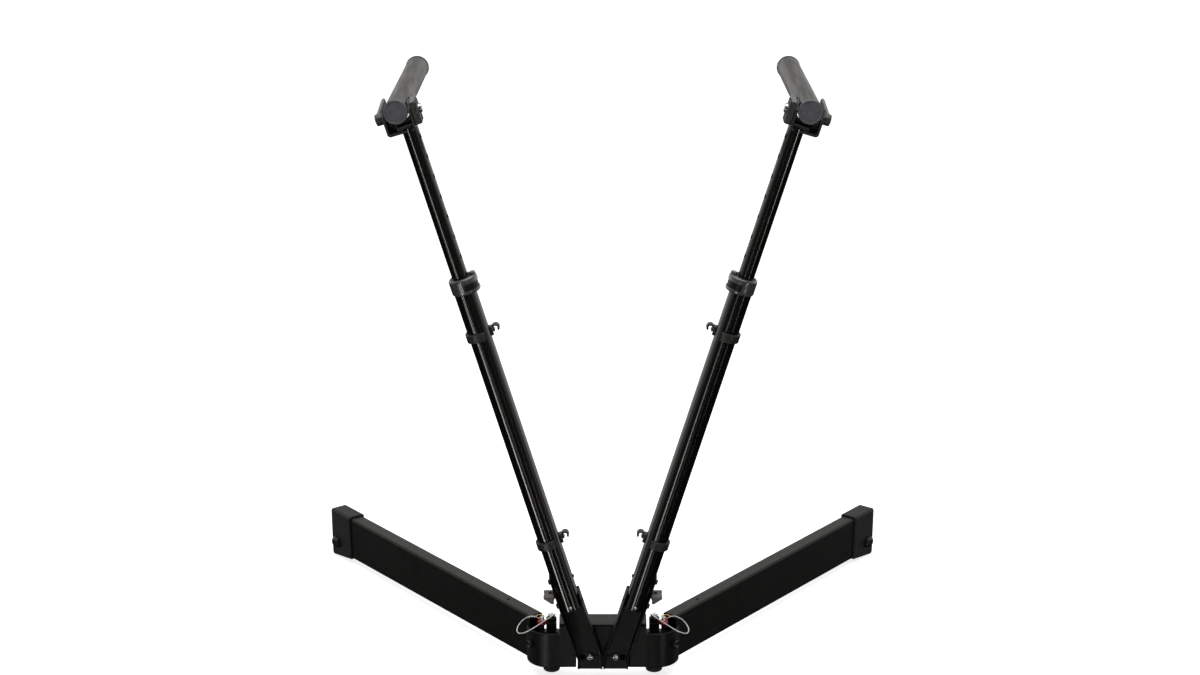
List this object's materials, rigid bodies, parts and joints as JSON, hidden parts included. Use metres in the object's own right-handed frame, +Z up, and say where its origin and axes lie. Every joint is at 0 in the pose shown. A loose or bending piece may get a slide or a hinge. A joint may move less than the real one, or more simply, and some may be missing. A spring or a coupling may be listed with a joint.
{
  "type": "keyboard_stand",
  "caption": "Folding keyboard stand: two leaning telescopic columns on a hub with two folding legs and two tilting support arms",
  "frame": {"origin": "on the floor, at the middle of the stand's footprint in X and Y", "axes": "+Z up; +X to the right as seen from the front; +Y from the front to the back, the way the legs and arms point"},
  "size_m": [0.967, 0.5758, 0.9658],
  "materials": {
    "anodised": "black anodised, glossy, with a satin sheen on flat faces",
    "painted": "black powder coat, half gloss",
    "cast": "black coated cast metal, satin",
    "moulded": "dark grey moulded plastic, slight gloss",
    "cap_plastic": "blue-grey moulded plastic, satin",
    "black_plastic": "black moulded plastic, glossy",
    "rubber": "black rubber, dull",
    "steel": "bright plated steel",
    "black_steel": "blackened steel, satin",
    "red_plastic": "red moulded plastic",
    "brass": "polished brass"
  },
  "bodies": {
    "base": {"hub_beam": "anodised", "rubber_feet": "rubber", "column_screws": "steel", "leg_socket_right": "anodised", "pivot_bolt_right": "black_steel", "lanyard_right": "steel", "lanyard_fittings_right": "steel", "leg_socket_left": "anodised", "pivot_bolt_left": "black_steel", "lanyard_left": "steel", "lanyard_fittings_left": "steel"},
    "leg_right": {"leg_knuckle_right": "cast", "leg_tube_right": "anodised", "leg_cap_right": "cap_plastic", "cap_screw_right": "steel"},
    "leg_left": {"leg_knuckle_left": "cast", "leg_tube_left": "anodised", "leg_cap_left": "cap_plastic", "cap_screw_left": "steel"},
    "column_right": {"column_bracket_right": "painted", "bracket_bolts_right": "black_steel", "lower_tube_right": "anodised", "slide_bushing_right": "black_plastic", "collar_right": "moulded", "cable_clips_right": "black_plastic"},
    "column_left": {"column_bracket_left": "painted", "bracket_bolts_left": "black_steel", "lower_tube_left": "anodised", "slide_bushing_left": "black_plastic", "collar_left": "moulded", "cable_clips_left": "black_plastic"},
    "upper_right": {"upper_tube_right": "anodised", "top_yoke_right": "painted", "clamp_block_right": "black_plastic", "cross_bolt_right": "steel"},
    "upper_left": {"upper_tube_left": "anodised", "top_yoke_left": "painted", "clamp_block_left": "black_plastic", "cross_bolt_left": "steel"},
    "arm_right": {"arm_tube_right": "anodised", "arm_caps_right": "cap_plastic", "arm_gusset_right": "painted"},
    "arm_left": {"arm_tube_left": "anodised", "arm_caps_left": "cap_plastic", "arm_gusset_left": "painted"},
    "clamp_handle_right": {"clamp_handle_right": "black_plastic"},
    "clamp_handle_left": {"clamp_handle_left": "black_plastic"},
    "collar_lever_right": {"collar_lever_right": "black_plastic"},
    "collar_lever_left": {"collar_lever_left": "black_plastic"},
    "release_lever_right": {"release_lever_right": "moulded"},
    "release_lever_left": {"release_lever_left": "moulded"},
    "lock_pin_right": {"lock_pin_right": "steel", "pin_knob_right": "red_plastic", "split_ring_right": "brass"},
    "lock_pin_left": {"lock_pin_left": "steel", "pin_knob_left": "red_plastic", "split_ring_left": "brass"},
    "button_right": {"socket_button_right": "black_steel"},
    "button_left": {"socket_button_left": "black_steel"}
  },
  "joints": [
    {"name": "leg_fold_right", "type": "hinge", "parent": "base", "child": "leg_right", "pos_m": [0.083, -0.20544, 0.045], "axis": [0, 0, 1], "range_deg": [0, 37.2]},
    {"name": "column_fold_right", "type": "hinge", "parent": "base", "child": "column_right", "pos_m": [0.0202, -0.24643, 0.0425], "axis": [0, -1, 0], "range_deg": [0, 13]},
    {"name": "height_right", "type": "slide", "parent": "column_right", "child": "upper_right", "axis": [0.2924, 0, 0.9563], "range_m": [-0.1968, 0.0656]},
    {"name": "arm_tilt_right", "type": "hinge", "parent": "upper_right", "child": "arm_right", "pos_m": [0.30685, -0.26044, 0.9399], "axis": [0.9563, 0, -0.2924], "range_deg": [-12, 15]},
    {"name": "clamp_handle_turn_right", "type": "hinge", "parent": "upper_right", "child": "clamp_handle_right", "pos_m": [0.3298, -0.26044, 0.93289], "axis": [0.9563, 0, -0.2924], "range_deg": [0, 110]},
    {"name": "collar_lever_turn_right", "type": "hinge", "parent": "column_right", "child": "collar_lever_right", "pos_m": [0.20915, -0.28603, 0.67593], "axis": [0.2924, 0, 0.9563], "range_deg": [0, 70]},
    {"name": "release_lever_press_right", "type": "hinge", "parent": "column_right", "child": "release_lever_right", "pos_m": [0.07856, -0.26243, 0.15642], "axis": [0, 1, 0], "range_deg": [0, 15], "stiffness_Nm_per_rad": 0.3},
    {"name": "pin_pull_right", "type": "slide", "parent": "base", "child": "lock_pin_right", "axis": [0, 0, 1], "range_m": [0, 0.05]},
    {"name": "button_press_right", "type": "slide", "parent": "base", "child": "button_right", "axis": [-0.788, 0.6157, 0], "range_m": [0, 0.0025], "stiffness_N_per_m": 600},
    {"name": "leg_fold_left", "type": "hinge", "parent": "base", "child": "leg_left", "pos_m": [-0.083, -0.20544, 0.045], "axis": [0, 0, -1], "range_deg": [0, 37.2]},
    {"name": "column_fold_left", "type": "hinge", "parent": "base", "child": "column_left", "pos_m": [-0.0202, -0.24643, 0.0425], "axis": [0, 1, 0], "range_deg": [0, 13]},
    {"name": "height_left", "type": "slide", "parent": "column_left", "child": "upper_left", "axis": [-0.2924, 0, 0.9563], "range_m": [-0.1968, 0.0656]},
    {"name": "arm_tilt_left", "type": "hinge", "parent": "upper_left", "child": "arm_left", "pos_m": [-0.30685, -0.26044, 0.9399], "axis": [0.9563, 0, 0.2924], "range_deg": [-12, 15]},
    {"name": "clamp_handle_turn_left", "type": "hinge", "parent": "upper_left", "child": "clamp_handle_left", "pos_m": [-0.3298, -0.26044, 0.93289], "axis": [0.9563, 0, 0.2924], "range_deg": [0, 110]},
    {"name": "collar_lever_turn_left", "type": "hinge", "parent": "column_left", "child": "collar_lever_left", "pos_m": [-0.20915, -0.28603, 0.67593], "axis": [0.2924, 0, -0.9563], "range_deg": [0, 70]},
    {"name": "release_lever_press_left", "type": "hinge", "parent": "column_left", "child": "release_lever_left", "pos_m": [-0.07856, -0.26243, 0.15642], "axis": [0, -1, 0], "range_deg": [0, 15], "stiffness_Nm_per_rad": 0.3},
    {"name": "pin_pull_left", "type": "slide", "parent": "base", "child": "lock_pin_left", "axis": [0, 0, 1], "range_m": [0, 0.05]},
    {"name": "button_press_left", "type": "slide", "parent": "base", "child": "button_left", "axis": [0.788, 0.6157, 0], "range_m": [0, 0.0025], "stiffness_N_per_m": 600}
  ]
}
